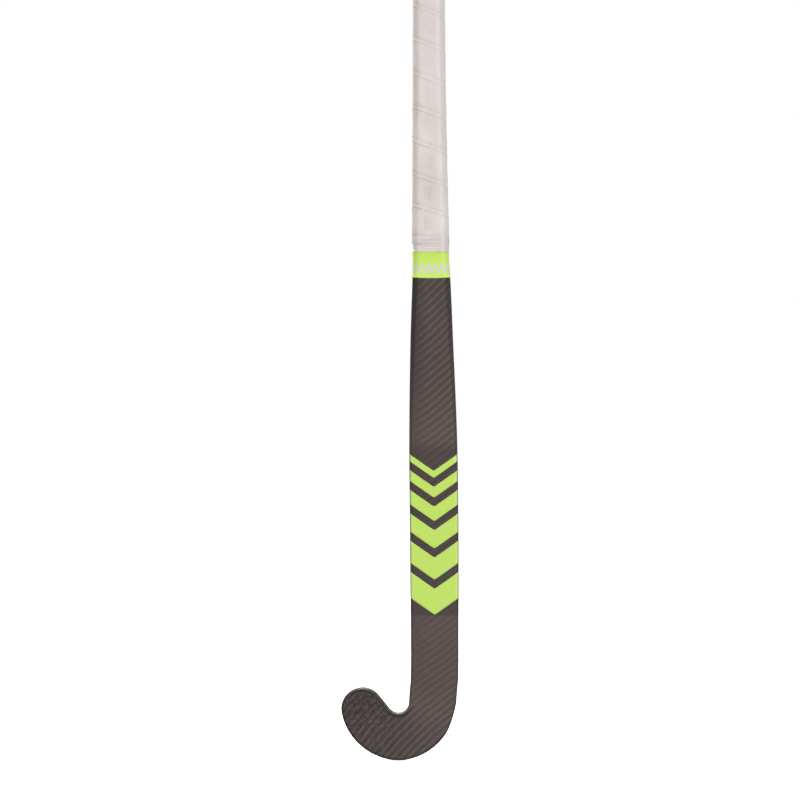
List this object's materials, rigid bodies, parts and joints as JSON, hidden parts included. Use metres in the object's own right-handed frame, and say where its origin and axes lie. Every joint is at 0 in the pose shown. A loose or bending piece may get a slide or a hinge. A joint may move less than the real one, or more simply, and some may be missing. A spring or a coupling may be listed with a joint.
{
  "type": "field hockey stick",
  "caption": "Full-size field hockey stick: bowed hollow composite shaft, curved hook with a flat playing face, foam cores, wound grip, collar band and rubber end cap.",
  "frame": {"origin": "centre of the end cap's flat outer face, at the butt end of the handle, on the handle's centre line", "axes": "+Z out of the butt end along the straight handle, so the stick hangs towards -Z; the playing face looks along -Y; the hook's toe points along -X and the heel along +X"},
  "size_m": [0.1177, 0.0573, 0.927],
  "materials": {
    "carbon_laminate": "satin braided composite with clear lacquer",
    "inner_laminate": "raw laminate",
    "shaft_foam": "closed-cell foam",
    "head_foam": "dense syntactic foam",
    "aramid_ply": "resin-wetted aramid weave",
    "damping_elastomer": "moulded elastomer",
    "plug_plastic": "moulded",
    "cap_rubber": "matte moulded rubber",
    "adhesive_tape": "double-sided tape",
    "grip_cushion": "soft polyurethane over-grip",
    "finishing_film": "stretched satin film",
    "collar_film": "satin shrink film",
    "transfer_ink": "satin printed film"
  },
  "bodies": {
    "root": {"shell": "carbon_laminate", "centre_web": "inner_laminate", "core_toe_side": "shaft_foam", "core_heel_side": "shaft_foam", "head_core": "head_foam", "strike_plate": "aramid_ply", "damping_insert": "damping_elastomer", "handle_plug": "plug_plastic", "end_cap": "cap_rubber", "adhesive_wrap": "adhesive_tape", "grip_tape": "grip_cushion", "finishing_tape": "finishing_film", "collar_band": "collar_film", "face_transfers": "transfer_ink"}
  },
  "joints": []
}
